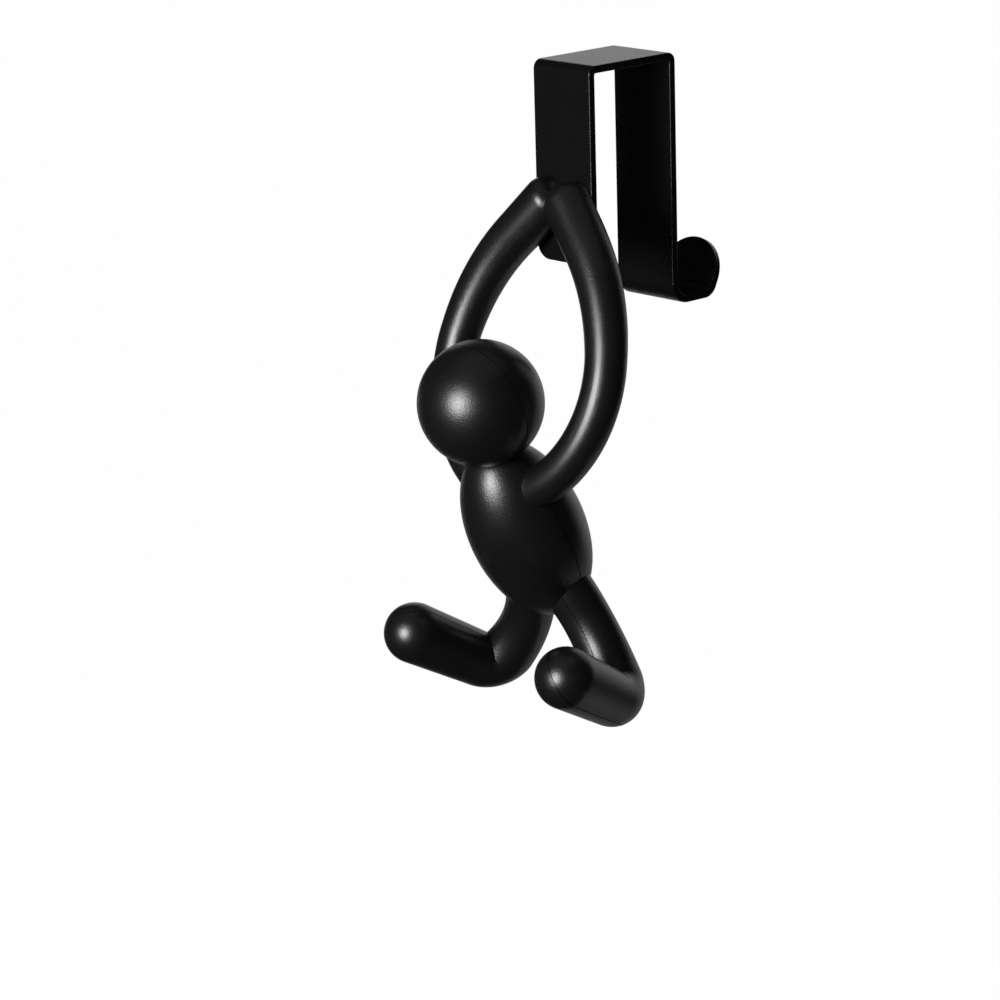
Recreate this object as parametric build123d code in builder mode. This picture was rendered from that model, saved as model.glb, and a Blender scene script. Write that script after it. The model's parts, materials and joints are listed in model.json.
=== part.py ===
from build123d import *
from math import cos, radians, sin, tan
import os

# Over door hook: a folded steel strap that drops over the top of a door, and a plain
# faceless figure of moulded plastic that hangs from it by both hands. Each foot turns up
# into a hook, and the strap ends in one more hook behind the door.
# Millimetres. X runs along the door, -Y faces the room, +Z is up.
# The origin is the middle of the strap's seat on the door's top edge.

# Door and strap
door_gap = 35.5
strap_width = 27.0
strap_thickness = 2.6
strap_inner_bend = 0.6
strap_edge_radius = 0.4
front_leg_length = 68.0
front_corner_radius = 5.6
back_leg_length = 87.5

# Hook behind the door, at the end of the back leg
back_hook_inner_bend = 4.6
back_hook_length = 8.9
back_tab_inner_bend = 3.1
back_tab_lean = 26.0
back_tab_length = 15.7

# Arms and joined hands, one hoop that lies in a leaning plane
hand_side_distance = 1.1
hand_stand_off = 1.55
hand_drop = 42.7
arms_lean = 16.1
forearm_slope = 47.2
forearm_length = 24.0
forearm_bend_radius = 72.4
forearm_bend_angle = 31.4
upper_arm_bend_radius = 44.5
upper_arm_bend_angle = 79.0
hand_radius = 8.7
forearm_radius = 8.15
upper_arm_radius = 7.15
hand_end_rounding = 5.5

# Torso, placed from the shoulders, where the arms end
torso_half_length = 35.7
torso_radius = 20.1
torso_lean = 27.2
torso_drop = 15.5
torso_back_offset = 8.85

# Head, placed from the middle of the torso, along and across it
head_radius = 21.5
head_height = 51.0
head_back_offset = 4.3
head_seam_lean = 16.4

# Legs, placed from the middle of the torso, each with a turned-up foot
hip_spread = 11.3
hip_drop = 26.4
hip_back_offset = 11.7
thigh_splay = 21.1
thigh_back = 22.4
foot_turn_out = 29.2
thigh_radius = 8.8
ankle_radius = 9.8
thigh_bend_radius = 46.5
thigh_bend_angle = 38.4
ankle_bend_radius = 7.6
ankle_bend_angle = 95.0
foot_length = 28.9
foot_flare = 1.8

# Moulded pegs that hold the limbs and the head to the torso
arm_peg_radius = 4.0
arm_peg_length = 28.0
leg_peg_radius = 5.0
leg_peg_length = 26.0
neck_peg_radius = 5.5
peg_clearance = 0.15
joint_line = 0.12

# Parting grooves of the mouldings
groove_width = 0.35
groove_depth = 0.3

# Screws from the strap into the hands, placed from the hands' top
screw_side_distance = 7.5
screw_drop = 8.3
screw_shank_radius = 1.45
screw_head_radius = 2.8
screw_head_angle = 90.0
screw_length = 8.5
screw_point_length = 1.5
screw_clearance = 0.1
screw_recess_radius = 1.3
screw_recess_width = 0.6
screw_recess_depth = 1.1

# Places on the strap that follow from the sizes above
strap_top = strap_thickness
front_inner = -door_gap / 2
front_face = front_inner - strap_thickness
back_inner = door_gap / 2
strap_edge = strap_width / 2
hand_level = strap_top - hand_drop
screw_level = hand_level - screw_drop
screw_places = (-screw_side_distance, screw_side_distance)
along_door = Vector(1, 0, 0)


def leaning(angle):
    """Upward direction that tips into the room by an angle in radians."""
    return Vector(0, -sin(angle), cos(angle))


def screw_plane(x):
    """Plane on the door side of the front leg, at one screw's head."""
    return Plane((x, front_inner, screw_level), x_dir=along_door, z_dir=(0, 1, 0))


def peg(plane, radius, length, clearance):
    """Round peg centred on a plane, or the socket that clears it."""
    with BuildPart() as bar:
        with BuildSketch(plane):
            Circle(radius + clearance)
        extrude(amount=length / 2 + clearance, both=True)
    return bar.part


def parting_groove(plane, reach, core):
    """Cutter for a groove along a parting plane, which goes in as far as a core."""
    with BuildPart() as cutter:
        with BuildSketch(plane):
            Circle(reach)
        extrude(amount=groove_width / 2, both=True)
        add(core, mode=Mode.SUBTRACT)
    return cutter.part


os.makedirs("parts", exist_ok=True)

# Strap, one strip of steel folded over the door and turned back up behind it
back_lowest = strap_top - back_leg_length
back_leg_end = back_lowest + strap_thickness + back_hook_inner_bend
tab_turn = 90 - back_tab_lean

with BuildPart() as door_strap:
    with BuildSketch(Plane.YZ):
        with BuildLine():
            front_line = Line((front_inner, strap_top - front_leg_length), (front_inner, -strap_inner_bend))
            front_bend = JernArc(front_line @ 1, front_line % 1, strap_inner_bend, -90)
            top_line = Line(front_bend @ 1, (back_inner - strap_inner_bend, 0))
            back_bend = JernArc(top_line @ 1, top_line % 1, strap_inner_bend, -90)
            back_line = Line(back_bend @ 1, (back_inner, back_leg_end))
            hook_bend = JernArc(back_line @ 1, back_line % 1, back_hook_inner_bend + strap_thickness, 90)
            hook_line = PolarLine(hook_bend @ 1, back_hook_length, direction=hook_bend % 1)
            tab_bend = JernArc(hook_line @ 1, hook_line % 1, back_tab_inner_bend + strap_thickness, tab_turn)
            tab_line = PolarLine(tab_bend @ 1, back_tab_length, direction=tab_bend % 1)
            offset(amount=strap_thickness, side=Side.LEFT)
        make_face()
    extrude(amount=strap_edge, both=True)
    front_corners = door_strap.edges().filter_by(Axis.Y).group_by(Axis.Y)[0]
    fillet(front_corners, radius=front_corner_radius)
    tab_tip = Vector(0, (tab_line @ 1).X, (tab_line @ 1).Y)
    tab_direction = Vector(0, (tab_line % 1).X, (tab_line % 1).Y)
    with BuildSketch(Plane(tab_tip, x_dir=along_door, z_dir=along_door.cross(tab_direction))):
        Rectangle(strap_width, strap_edge, align=(Align.CENTER, Align.MAX))
        with Locations((0, -strap_edge)):
            Circle(strap_edge, mode=Mode.SUBTRACT)
    extrude(amount=2 * strap_thickness, both=True, mode=Mode.SUBTRACT)
    fillet(door_strap.faces().filter_by(Axis.X).edges(), radius=strap_edge_radius)
    with Locations(*[screw_plane(x) for x in screw_places]):
        CounterSinkHole(
            screw_shank_radius + screw_clearance,
            screw_head_radius + screw_clearance,
            depth=2 * strap_thickness,
            counter_sink_angle=screw_head_angle,
        )
door_strap.part.label = "door_strap"
export_step(door_strap.part, "parts/door_strap.step")

# Line of the right arm, from the hand to the shoulder
arms_plane = Plane(
    (0, front_face - hand_stand_off, hand_level),
    x_dir=along_door,
    z_dir=along_door.cross(leaning(radians(-arms_lean))),
)
with BuildLine(arms_plane):
    forearm = PolarLine((hand_side_distance, 0), forearm_length, angle=-forearm_slope)
    elbow = JernArc(forearm @ 1, forearm % 1, forearm_bend_radius, -forearm_bend_angle)
    upper_arm = JernArc(elbow @ 1, elbow % 1, upper_arm_bend_radius, -upper_arm_bend_angle)
hand_plane = Plane(forearm @ 0, z_dir=forearm % 0)
forearm_plane = Plane(elbow @ 0, z_dir=elbow % 0)
elbow_plane = Plane(elbow @ 1, z_dir=elbow % 1)
shoulder = upper_arm @ 1
arm_peg_place = 1 - arm_peg_length / 2 / upper_arm.length
arm_peg_plane = Plane(upper_arm @ arm_peg_place, z_dir=upper_arm % arm_peg_place)

# Places of torso, head and neck, and the body of the torso
torso_middle = Vector(0, shoulder.Y + torso_back_offset, shoulder.Z - torso_drop)
torso_up = leaning(radians(torso_lean))
torso_front = along_door.cross(torso_up)
head_middle = torso_middle + torso_up * head_height - torso_front * head_back_offset
neck = Line(torso_middle, head_middle)
neck_plane = Plane(neck @ 0.5, z_dir=neck % 0.5)


def torso_form(grown):
    """Body of the torso with its surface moved outward by a distance."""
    half_length = torso_half_length + grown
    half_width = torso_radius + grown
    with BuildPart() as form:
        with BuildSketch(Plane(torso_middle, x_dir=torso_up, z_dir=along_door)):
            Ellipse(half_length, half_width)
            Rectangle(2 * half_length, half_width, align=(Align.CENTER, Align.MIN), mode=Mode.INTERSECT)
        revolve(axis=Axis(torso_middle, torso_up))
    return form.part


# Arms, a hoop from one shoulder through the joined hands to the other shoulder
with BuildPart() as arms:
    with Locations(hand_plane):
        Cone(hand_radius, forearm_radius, forearm_length, align=(Align.CENTER, Align.CENTER, Align.MIN))
    hand_end = arms.faces().sort_by_distance(forearm @ 0)[0]
    fillet(hand_end.edges(), radius=hand_end_rounding)
    with BuildSketch(forearm_plane):
        Circle(forearm_radius)
    with BuildSketch(elbow_plane):
        Circle(upper_arm_radius)
    sweep(path=elbow, multisection=True)
    with BuildSketch(elbow_plane):
        Circle(upper_arm_radius)
    revolve(axis=Axis(upper_arm.arc_center, -arms_plane.z_dir), revolution_arc=upper_arm_bend_angle)
    split(bisect_by=Plane.XZ.offset(-front_face), keep=Keep.TOP)
    add(torso_form(joint_line), mode=Mode.SUBTRACT)
    add(peg(arm_peg_plane, arm_peg_radius, arm_peg_length, 0))
    mirror(about=Plane.YZ)
    for x in screw_places:
        with BuildSketch(screw_plane(x)):
            Circle(screw_shank_radius + screw_clearance)
        extrude(amount=-screw_length - screw_clearance, mode=Mode.SUBTRACT)
arms.part.label = "arms"
export_step(arms.part, "parts/arms.step")

# Lines and planes of the right leg: thigh, tight ankle bend and straight foot
hip = torso_middle + Vector(hip_spread, hip_back_offset, -hip_drop)
thigh_direction = Vector(
    sin(radians(thigh_splay)) * cos(radians(thigh_back)),
    sin(radians(thigh_back)),
    -cos(radians(thigh_splay)) * cos(radians(thigh_back)),
)
toe_direction = Vector(sin(radians(foot_turn_out)), -cos(radians(foot_turn_out)), 0)
leg_plane = Plane(hip, x_dir=thigh_direction, z_dir=thigh_direction.cross(toe_direction))
with BuildLine(leg_plane):
    thigh = JernArc((0, 0), (1, 0), thigh_bend_radius, thigh_bend_angle)
    ankle = JernArc(thigh @ 1, thigh % 1, ankle_bend_radius, ankle_bend_angle)
hip_plane = Plane(hip, z_dir=thigh_direction)
ankle_centre = ankle.arc_center
ankle_plane = Plane(thigh @ 1, x_dir=ankle_centre - thigh @ 1, z_dir=thigh % 1)
foot_plane = Plane(ankle @ 1, x_dir=ankle % 1, z_dir=leg_plane.z_dir)
leg_reach = 2 * thigh_bend_radius + foot_length


def leg_form(skin):
    """Right leg with its surface moved inward by a distance."""
    hip_radius = thigh_radius - skin
    heel_radius = ankle_radius - skin
    toe_radius = heel_radius * cos(radians(foot_flare)) + foot_length * sin(radians(foot_flare))
    ankle_reach = ankle_bend_radius + heel_radius
    with BuildPart() as form:
        with BuildSketch(hip_plane):
            Circle(hip_radius)
        extrude(amount=-torso_radius)
        with BuildSketch(hip_plane):
            Circle(hip_radius)
        with BuildSketch(ankle_plane):
            Circle(heel_radius)
        sweep(path=thigh, multisection=True)
        with BuildSketch(ankle_plane):
            Circle(heel_radius)
            with Locations((ankle_bend_radius, 0)):
                Rectangle(ankle_reach, 2 * heel_radius, align=(Align.MAX, Align.CENTER), mode=Mode.INTERSECT)
        revolve(axis=Axis(ankle_centre, leg_plane.z_dir), revolution_arc=ankle_bend_angle)
        with BuildSketch(foot_plane):
            with BuildLine():
                heel = Line((0, 0), (0, heel_radius))
                sole_length = foot_length - toe_radius * sin(radians(foot_flare))
                sole = PolarLine(heel @ 1, sole_length / cos(radians(foot_flare)), angle=foot_flare)
                toe = JernArc(sole @ 1, sole % 1, toe_radius, -90 - foot_flare)
                Line(toe @ 1, heel @ 0)
            make_face()
        revolve(axis=Axis(ankle @ 1, ankle % 1))
    return form.part


# Legs, each a leaning hook with a parting groove all along its own plane
with BuildPart() as right_leg:
    add(leg_form(0))
    add(parting_groove(leg_plane, leg_reach, leg_form(groove_depth)), mode=Mode.SUBTRACT)
    add(torso_form(joint_line), mode=Mode.SUBTRACT)
    add(peg(hip_plane, leg_peg_radius, leg_peg_length, 0))
right_leg.part.label = "right_leg"
export_step(right_leg.part, "parts/right_leg.step")

with BuildPart() as left_leg:
    mirror(right_leg.part, about=Plane.YZ)
left_leg.part.label = "left_leg"
export_step(left_leg.part, "parts/left_leg.step")

# Torso, a moulded spheroid with a neck peg and a socket for each limb
torso_parting = Plane(torso_middle, x_dir=along_door, z_dir=torso_front)
arm_socket = peg(arm_peg_plane, arm_peg_radius, arm_peg_length, peg_clearance)
leg_socket = peg(hip_plane, leg_peg_radius, leg_peg_length, peg_clearance)

with BuildPart() as torso:
    add(torso_form(0))
    add(
        parting_groove(torso_parting, 2 * torso_half_length, torso_form(-groove_depth)),
        mode=Mode.SUBTRACT,
    )
    for socket in (arm_socket, leg_socket):
        add(socket, mode=Mode.SUBTRACT)
        mirror(socket, about=Plane.YZ, mode=Mode.SUBTRACT)
    add(peg(neck_plane, neck_peg_radius, neck.length, 0))
torso.part.label = "torso"
export_step(torso.part, "parts/torso.step")

# Head, a plain ball with a parting groove round it, hollowed to sit over torso and neck
seam_up = leaning(radians(head_seam_lean))

with BuildPart() as head:
    with BuildSketch(Plane(head_middle, x_dir=seam_up, z_dir=along_door)):
        Circle(head_radius)
        Rectangle(2 * head_radius, groove_width, mode=Mode.SUBTRACT)
        Circle(head_radius - groove_depth)
        Rectangle(head_radius, 2 * head_radius, align=(Align.MIN, Align.CENTER), mode=Mode.INTERSECT)
    revolve(axis=Axis(head_middle, along_door.cross(seam_up)))
    add(torso_form(joint_line), mode=Mode.SUBTRACT)
    add(peg(neck_plane, neck_peg_radius, neck.length, peg_clearance), mode=Mode.SUBTRACT)
head.part.label = "head"
export_step(head.part, "parts/head.step")

# Screws, countersunk and flush with the door side of the strap
cone_height = (screw_head_radius - screw_shank_radius) / tan(radians(screw_head_angle / 2))

with BuildPart() as hand_screws:
    for x in screw_places:
        axis_point = screw_plane(x).origin
        with BuildSketch(Plane(axis_point, x_dir=along_door, z_dir=(0, 0, 1))):
            with BuildLine():
                Polyline(
                    (0, 0),
                    (screw_head_radius, 0),
                    (screw_shank_radius, -cone_height),
                    (screw_shank_radius, screw_point_length - screw_length),
                    (0, -screw_length),
                    close=True,
                )
            make_face()
        revolve(axis=Axis(axis_point, (0, 1, 0)))
        with BuildSketch(screw_plane(x)):
            Rectangle(2 * screw_recess_radius, screw_recess_width)
            Rectangle(screw_recess_width, 2 * screw_recess_radius)
        extrude(amount=-screw_recess_depth, mode=Mode.SUBTRACT)
hand_screws.part.label = "hand_screws"
export_step(hand_screws.part, "parts/hand_screws.step")
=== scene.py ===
# %% [markdown]
# # Over door hook: a folded steel strap and a hanging figure of black plastic
#
# This lesson dresses a finished construction model in Blender. The pieces arrive from the frame
# at their real size, in metres, so nothing here moves or resizes them. What is left to do is what
# the eye judges: how light runs over satin plastic and powder-coated steel, and what stands around
# the object while the picture is taken.

# %% Load the construction model
import json
from math import cos, radians, sin

import bpy
from mathutils import Matrix, Vector

MM_PER_M = 1000


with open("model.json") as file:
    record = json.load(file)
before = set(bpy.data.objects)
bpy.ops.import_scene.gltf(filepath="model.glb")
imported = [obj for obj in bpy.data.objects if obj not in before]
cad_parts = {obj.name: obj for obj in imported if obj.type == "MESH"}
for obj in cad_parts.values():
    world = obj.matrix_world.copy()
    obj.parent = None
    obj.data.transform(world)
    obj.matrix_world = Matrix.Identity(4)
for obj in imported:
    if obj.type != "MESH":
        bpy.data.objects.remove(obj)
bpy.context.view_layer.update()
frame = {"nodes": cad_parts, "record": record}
nodes = frame["nodes"]
scene = bpy.context.scene
print("pieces:", sorted(nodes))

# %% [markdown]
# ## Smooth shading that keeps the crisp edges
#
# A moulding is round all over, but its mesh is made of small flat facets. Shading each facet by
# itself would show them, and shading everything smooth would smear light over the folded edges of
# the strap. Three modifiers solve it and leave the mesh itself alone: Weld joins the seams between
# neighbouring faces, Edge Split keeps every edge sharper than a limit, and Weighted Normal lets the
# large faces decide, so that a flat face stays flat right up to its rounded edge.

# %% Shade the pieces
SEAM_GAP = 0.000002
SHARP_ANGLE = radians(32)
LARGE_FACE_WEIGHT = 60


def smooth_facets(mesh):
    """Lets light run over the facets of a mesh as over one round surface."""
    for polygon in mesh.polygons:
        polygon.use_smooth = True


def shade_smooth(piece):
    """Smooth shading with crisp edges."""
    smooth_facets(piece.data)
    weld = piece.modifiers.new("join seams", "WELD")
    weld.merge_threshold = SEAM_GAP
    split = piece.modifiers.new("keep sharp edges", "EDGE_SPLIT")
    split.split_angle = SHARP_ANGLE
    normals = piece.modifiers.new("flat faces first", "WEIGHTED_NORMAL")
    normals.weight = LARGE_FACE_WEIGHT


for name, piece in nodes.items():
    shade_smooth(piece)
    print(name, "has", len(piece.data.polygons), "facets")

# %% [markdown]
# ## The camera
#
# The picture is a product shot from the front right and a little above, through a long lens, so
# the strap's parallel edges hardly converge. The camera is described the way a photographer would:
# what it aims at, from which side, how high, how far away, and how much it is tipped on its axis.
# The axes of the camera are then built from those angles, which is plainer than a tracking
# constraint and gives the same view on every run.

# %% Place the camera
AIM = Vector((-0.0398, -0.0099, -0.1636))
AZIMUTH = 47.12
ELEVATION = 15.59
ROLL = radians(-1.55)
DISTANCE = 1.3904
SENSOR_MM = 36.0
LENS_MM = 141.37
FRAME_SHIFT = (-0.0147, 0.0148)
FAR_CLIP = 50


def towards(azimuth, elevation):
    """Direction out from the hook, by degrees round it, from the front towards +X, and degrees up."""
    turn = radians(azimuth)
    rise = radians(elevation)
    return Vector((sin(turn) * cos(rise), -cos(turn) * cos(rise), sin(rise)))


back = towards(AZIMUTH, ELEVATION)
level_right = Vector((cos(radians(AZIMUTH)), sin(radians(AZIMUTH)), 0))
level_up = back.cross(level_right)
right = level_right * cos(ROLL) + level_up * sin(ROLL)
up = level_up * cos(ROLL) - level_right * sin(ROLL)
axes = Matrix((right, up, back)).transposed()

camera_data = bpy.data.cameras.new("product camera")
camera_data.sensor_width = SENSOR_MM
camera_data.lens = LENS_MM
camera_data.shift_x, camera_data.shift_y = FRAME_SHIFT
camera_data.clip_end = FAR_CLIP
camera = bpy.data.objects.new("product camera", camera_data)
camera.matrix_world = Matrix.Translation(AIM + back * DISTANCE) @ axes.to_4x4()
scene.collection.objects.link(camera)
scene.camera = camera
print("camera stands at", [round(c, 3) for c in camera.matrix_world.translation])

# %% [markdown]
# ## Shader maths as Python
#
# A finish is a recipe of numbers that change over the surface: where the coat is rougher, how deep
# its grain is. Written as nodes one by one, such a recipe is hard to read. A small class that wraps
# a socket and overloads the operators lets us write it as a formula, and each operator adds its own
# Math node. A plain number may stand on either side, so both forms of each operator are there.


# %% Wrap a socket
class Value:
    """A socket of a Shader, which can be used in a formula."""

    def __init__(self, shader, socket):
        self.shader = shader
        self.socket = socket

    def __add__(self, other):
        return self.shader.math("ADD", self, other)

    def __radd__(self, other):
        return self.shader.math("ADD", other, self)

    def __mul__(self, other):
        return self.shader.math("MULTIPLY", self, other)

    def __rmul__(self, other):
        return self.shader.math("MULTIPLY", other, self)


print("a socket can now stand in a formula")

# %% [markdown]
# ## One method for every node
#
# Everything that isn't arithmetic comes from one method, which takes the type of a node, its
# settings and what goes into its sockets. That keeps each finish down to a few lines that name what
# matters. Materials and the world both have a node tree, so one class serves both, and it knows
# which node is the surface, or the sky, that all the others feed.


# %% Hold a node tree
class Shader:
    """The node tree of a material or a world, with one method that makes any node."""

    def __init__(self, owner, surface="Principled BSDF"):
        owner.use_nodes = True
        self.owner = owner
        self.tree = owner.node_tree
        self.surface = self.tree.nodes[surface]

    def fill(self, socket, value):
        """Sets a socket to a number or colour, or links a value to it."""
        if isinstance(value, Value):
            self.tree.links.new(value.socket, socket)
        else:
            socket.default_value = value

    def node(self, kind, settings=None, inputs=(), output=0):
        """Makes a node: its settings first, then its sockets by order or by name."""
        made = self.tree.nodes.new(kind)
        for name, value in (settings or {}).items():
            setattr(made, name, value)
        pairs = inputs.items() if isinstance(inputs, dict) else enumerate(inputs)
        for key, value in pairs:
            self.fill(made.inputs[key], value)
        return Value(self, made.outputs[output])

    def math(self, operation, first, second):
        """Makes a Math node of two values or numbers."""
        return self.node("ShaderNodeMath", {"operation": operation}, [first, second])

    def set(self, **values):
        """Sets the surface's own sockets, with underscores for the spaces of their names."""
        for name, value in values.items():
            self.fill(self.surface.inputs[name.replace("_", " ")], value)


print("a formula such as 0.4 + 0.1 * grain now builds its own nodes")

# %% [markdown]
# ## Where a texture sits
#
# A texture needs a place to be. The pieces share one frame, in metres, so the object's own
# coordinates work for all of them: a grain of a tenth of a millimetre is a tenth of a millimetre on
# the head and on the foot. Unwrapping the meshes would only add seams.
#
# All the finishes are made from three things: grain, which is noise of a real width, tint, which is
# a colour between two tones, and relief, which is a bump of a real depth. The Mix node behind tint
# has a set of sockets for each kind of data, under the same names, so its colour sockets are picked
# by their number.

# %% Grain by its size in millimetres
MIX_FACTOR = 0
MIX_COLOURS = (6, 7)
MIX_RESULT = 2


def grain(shader, size_mm, detail=2.0, roughness=0.5, stretch=(1, 1, 1)):
    """Noise from 0 to 1 whose blotches are about as wide as the size given."""
    place = shader.node("ShaderNodeTexCoord", output="Object")
    scale = tuple(share * MM_PER_M / size_mm for share in stretch)
    scaled = shader.node("ShaderNodeMapping", inputs={"Vector": place, "Scale": scale})
    return shader.node(
        "ShaderNodeTexNoise",
        {"noise_dimensions": "3D"},
        {"Vector": scaled, "Scale": 1.0, "Detail": detail, "Roughness": roughness},
    )


def tint(shader, amount, dark, light):
    """Colour between two tones, by an amount from 0 to 1."""
    first, second = MIX_COLOURS
    inputs = {MIX_FACTOR: amount, first: (*dark, 1), second: (*light, 1)}
    return shader.node("ShaderNodeMix", {"data_type": "RGBA"}, inputs, MIX_RESULT)


def relief(shader, height, depth_mm):
    """Normal that follows a height from 0 to 1, at its real depth."""
    inputs = {"Strength": 1.0, "Distance": depth_mm / MM_PER_M, "Height": height}
    return shader.node("ShaderNodeBump", inputs=inputs)


print("grain, tint and relief are ready")

# %% [markdown]
# ## Black moulded plastic
#
# The figure is injection moulded in a tool with a finely stoned, satin skin. Close up that skin is
# a mass of tiny dents, which is why the highlights are soft and have no hard rim. Black plastic
# takes nearly all the light: well under one percent comes back as colour, and what the eye sees is
# the five percent or so that its skin mirrors. So the finish has a very dark base with slow, faint
# clouds, a roughness that wanders by a few hundredths, and a grain half a millimetre wide and about
# a twentieth of a millimetre deep, which breaks the highlights up into a fine sparkle.


# %% Figure plastic
def moulded_plastic():
    """Satin black of the head, torso, arms and legs."""
    plastic = Shader(bpy.data.materials.new("black moulded plastic"))
    clouds = grain(plastic, size_mm=14.0, detail=3.0)
    skin = grain(plastic, size_mm=0.52, roughness=0.6)
    plastic.set(
        Base_Color=tint(plastic, clouds, dark=(0.0040, 0.0040, 0.0044), light=(0.0065, 0.0065, 0.0069)),
        Roughness=0.27 + 0.05 * clouds + 0.04 * skin,
        Normal=relief(plastic, skin, depth_mm=0.058),
        IOR=1.58,
    )
    return plastic.owner


figure_finish = moulded_plastic()
print("made", figure_finish.name)

# %% [markdown]
# ## Powder coat on steel
#
# The strap is sprayed with charged powder and baked. The powder melts into a thick skin with the
# slow waves that painters call orange peel, about a millimetre across, and a finer sparkle on top.
# Two grains of different widths, added in equal shares, give that surface. The coat is a little
# smoother and darker than the moulding beside it, so the edges draw a clean bright line.


# %% Strap coating
def powder_coat():
    """Black coat of the strap."""
    coat = Shader(bpy.data.materials.new("black powder coat"))
    peel = grain(coat, size_mm=1.3, detail=1.0)
    sparkle = grain(coat, size_mm=0.5, roughness=0.7)
    clouds = grain(coat, size_mm=20.0)
    coat.set(
        Base_Color=tint(coat, clouds, dark=(0.0022, 0.0022, 0.0024), light=(0.0035, 0.0035, 0.0037)),
        Roughness=0.23 + 0.04 * clouds + 0.05 * sparkle,
        Normal=relief(coat, 0.5 * peel + 0.5 * sparkle, depth_mm=0.060),
        IOR=1.52,
    )
    return coat.owner


strap_finish = powder_coat()
print("made", strap_finish.name)

# %% [markdown]
# ## Zinc on the screws
#
# The two screws are plain zinc-plated steel. Their heads are pressed in a die and then tumbled, so
# they show a fine random scratch rather than a turned ring, and the plating has faint warm and cool
# patches. Metal has no diffuse colour of its own: the base colour tints the reflection.


# %% Screw plating
def zinc_plating():
    """Bright grey of the two screws."""
    zinc = Shader(bpy.data.materials.new("zinc plating"))
    patches = grain(zinc, size_mm=2.5)
    scratches = grain(zinc, size_mm=0.12, stretch=(1, 1, 0.25))
    zinc.set(
        Base_Color=tint(zinc, patches, dark=(0.50, 0.51, 0.54), light=(0.62, 0.61, 0.58)),
        Metallic=1.0,
        Roughness=0.28 + 0.18 * scratches,
        Normal=relief(zinc, scratches, depth_mm=0.004),
    )
    return zinc.owner


screw_finish = zinc_plating()
print("made", screw_finish.name)

# %% [markdown]
# ## A finish for every piece
#
# The record of the construction model names a material slot for each piece. Going by those slots
# gives every moulding the same plastic without a list of pieces here, and a slot that had no finish
# would stop the script at once.

# %% Dress the pieces
finishes = {
    "strap_powder_coat": strap_finish,
    "figure_plastic": figure_finish,
    "screw_steel": screw_finish,
}
for part in frame["record"]["subparts"]:
    finish = finishes[part["material_slot"]]
    materials = nodes[part["node"]].data.materials
    materials.clear()
    materials.append(finish)
    print(part["node"], "wears", finish.name)

# %% [markdown]
# ## White paper as the ground
#
# The hook is shown hanging in front of white. In a studio that white is a long sheet of paper, and
# its finish has two sides. To the lamps it is plain white card. To rays from the camera, or from a
# glossy or clear surface, it shines at a strength of 1, which is white, and only a small share of
# the card shows through, with its faint shadow. A card lit until it looks white would do the same
# in the picture, but it would also light the object from behind. For glossy rays the shine fades
# from the far left of the wall to the front of the floor, as on a sheet that is lit from there.

# %% Paper finish
WHITE = (1, 1, 1, 1)
CARD = (0.8, 0.8, 0.8, 1)
CARD_SHARE = 0.01
FADE_ACROSS = (-0.5, 1, 0)
FADE_START = 0.15
FADE_END = 4.4


def ray_kinds(shader):
    """Outputs of a Light Path node, by name: Is Camera Ray, for one, is 1 where the camera looks."""
    path = shader.node("ShaderNodeLightPath").socket.node
    return {output.name: Value(shader, output) for output in path.outputs}


def paper_white():
    """Card to the lamps, and an even white to the rays that look at it."""
    paper = Shader(bpy.data.materials.new("white paper"))
    paper.set(Base_Color=CARD, Roughness=0.9, Specular_IOR_Level=0.0)
    place = paper.node("ShaderNodeNewGeometry", output="Position")
    dot_product = {"operation": "DOT_PRODUCT"}
    along = paper.node("ShaderNodeVectorMath", dot_product, [place, FADE_ACROSS], "Value")
    fade = paper.node(
        "ShaderNodeMapRange",
        {"interpolation_type": "SMOOTHSTEP"},
        {"Value": along, "From Min": FADE_START, "From Max": FADE_END},
    )
    rays = ray_kinds(paper)
    seen = rays["Is Camera Ray"] + rays["Is Glossy Ray"] * fade + rays["Is Transmission Ray"]
    share = (1 - CARD_SHARE) * paper.math("MINIMUM", seen, 1.0)
    card = Value(paper, paper.surface.outputs["BSDF"])
    glow = paper.node("ShaderNodeEmission", inputs={"Color": WHITE, "Strength": 1.0})
    blend = paper.node("ShaderNodeMixShader", inputs=[share, card, glow])
    paper.fill(paper.tree.nodes["Material Output"].inputs["Surface"], blend)
    return paper.owner


paper_finish = paper_white()
print("made", paper_finish.name)

# %% [markdown]
# ## The sweep
#
# The sheet lies as a floor well below the object, bends up in a wide curve and ends as a wall far
# behind it. It starts a little behind the hook, and that matters. Black satin mirrors whatever
# stands around it, so a white floor that ran on under the hook would turn every underside grey. The
# sheet behind the hook draws only the pale rims that set a dark object off from its ground. The
# camera looks at it from the right, so it reaches much further to the left.

# %% Paper sweep
FLOOR_LEVEL = -0.55
SWEEP_FRONT = 0.15
SWEEP_BACK = 1.8
SWEEP_BEND = 0.6
SWEEP_TOP = 1.3
SWEEP_LEFT = 3.2
SWEEP_RIGHT = 0.32
BEND_STEPS = 16


def sweep_profile():
    """Points of the sheet from its front edge to its top, as distance behind the hook and height."""
    points = [(SWEEP_FRONT, FLOOR_LEVEL)]
    for step in range(BEND_STEPS + 1):
        turn = radians(90 * step / BEND_STEPS)
        behind = SWEEP_BACK - SWEEP_BEND * (1 - sin(turn))
        height = FLOOR_LEVEL + SWEEP_BEND * (1 - cos(turn))
        points.append((behind, height))
    points.append((SWEEP_BACK, SWEEP_TOP))
    return points


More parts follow.
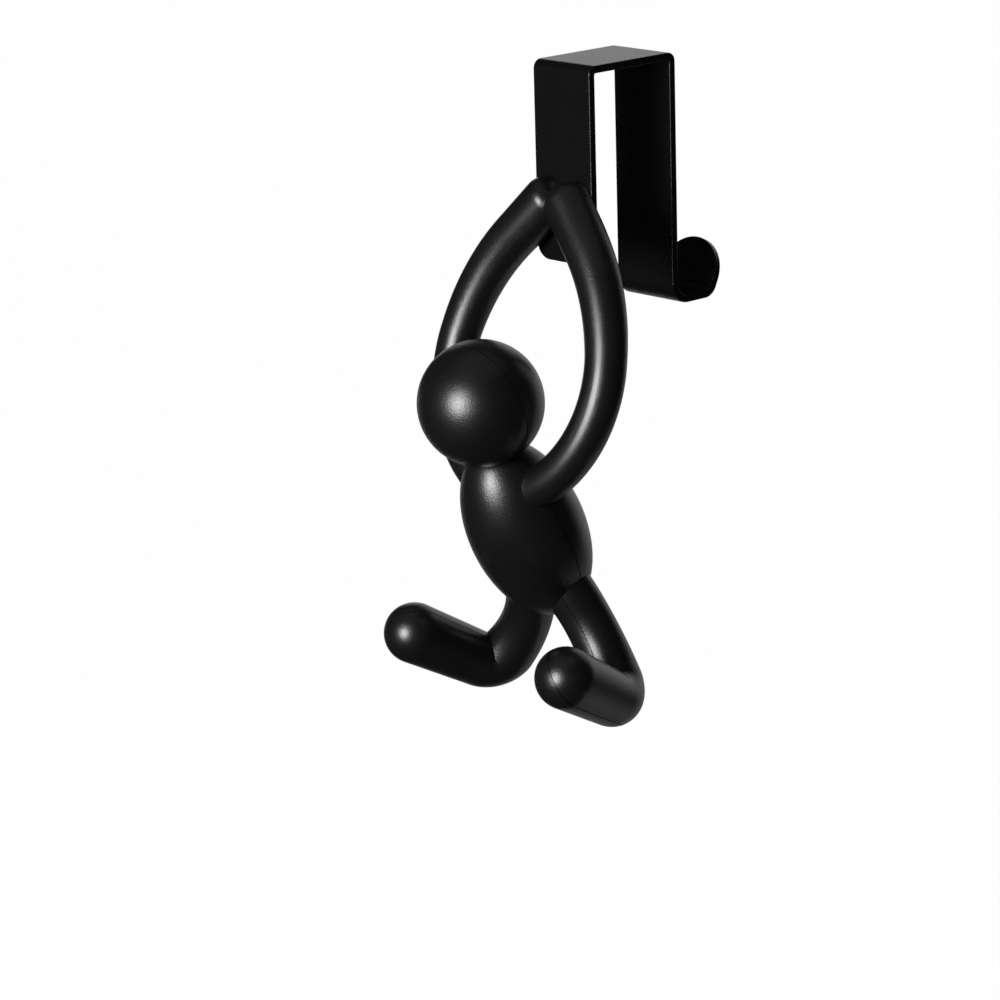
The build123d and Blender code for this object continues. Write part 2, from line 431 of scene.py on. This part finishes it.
corners = []
for behind, height in sweep_profile():
    for side in (-SWEEP_LEFT, SWEEP_RIGHT):
        corners.append(Vector((side, behind, height)))
strips = [(i, i + 1, i + 3, i + 2) for i in range(0, len(corners) - 2, 2)]
sweep_mesh = bpy.data.meshes.new("paper sweep")
sweep_mesh.from_pydata(corners, [], strips)
sweep_mesh.materials.append(paper_finish)
smooth_facets(sweep_mesh)
sweep = bpy.data.objects.new("paper sweep", sweep_mesh)
scene.collection.objects.link(sweep)
print("the paper has", len(strips), "strips and lies", -FLOOR_LEVEL, "m below the door's top edge")

# %% [markdown]
# ## Studio light
#
# Black satin shows almost nothing but reflections, so the lamps are placed by the highlights they
# make. One large soft box hangs in front of the figure, to the left of the camera. It draws the
# round highlight on the head, the one on the torso and the long streaks down both arms, and it
# gives most of the light: a white card held in its beam would come out about white. Its cloth is
# brighter in the middle, where the bulb is, so a second, smaller lamp stands just in front of it and
# the highlights fade out instead of ending at an edge. A wide, weak one overhead keeps the tops from
# going dead and lays the paper's faint shadow.

# %% Lamps
LAMP_TARGET = Vector((0, -0.03, -0.11))
IN_FRONT = (6.0, 10.5)
OVERHEAD = (0, 88)


def soft_box(name, side, distance, width, height, watts):
    """Area lamp that looks at the hook from a side, given as azimuth and elevation in degrees."""
    out = towards(*side)
    data = bpy.data.lights.new(name, "AREA")
    data.shape = "ELLIPSE"
    data.size, data.size_y = width, height
    data.energy = watts
    lamp = bpy.data.objects.new(name, data)
    lamp.location = LAMP_TARGET + out * distance
    lamp.rotation_euler = out.to_track_quat("Z", "Y").to_euler()
    scene.collection.objects.link(lamp)
    print(name, "at", [round(c, 2) for c in lamp.location], "gives", watts, "W")


soft_box("front soft box", IN_FRONT, distance=1.6, width=1.05, height=1.20, watts=20.0)
soft_box("front hot spot", IN_FRONT, distance=1.55, width=0.62, height=0.72, watts=16.0)
soft_box("overhead soft box", OVERHEAD, distance=1.5, width=2.0, height=2.0, watts=1.2)

# %% [markdown]
# ## The world around
#
# The background is white, but it must not light the object as a white tent would: black plastic in
# a tent looks grey. So the world is white only for rays that come from the camera or pass through
# something clear, and dim for everything else, as a dark studio is.

# %% World
DIM = 0.02

sky = Shader(bpy.data.worlds.new("studio"), "Background")
rays = ray_kinds(sky)
shown = sky.math("MAXIMUM", rays["Is Camera Ray"], rays["Is Transmission Ray"])
sky.set(Color=WHITE, Strength=DIM + (1 - DIM) * shown)
scene.world = sky.owner
scene.view_settings.view_transform = "Standard"
print("world is white to the camera and", DIM, "to the object")
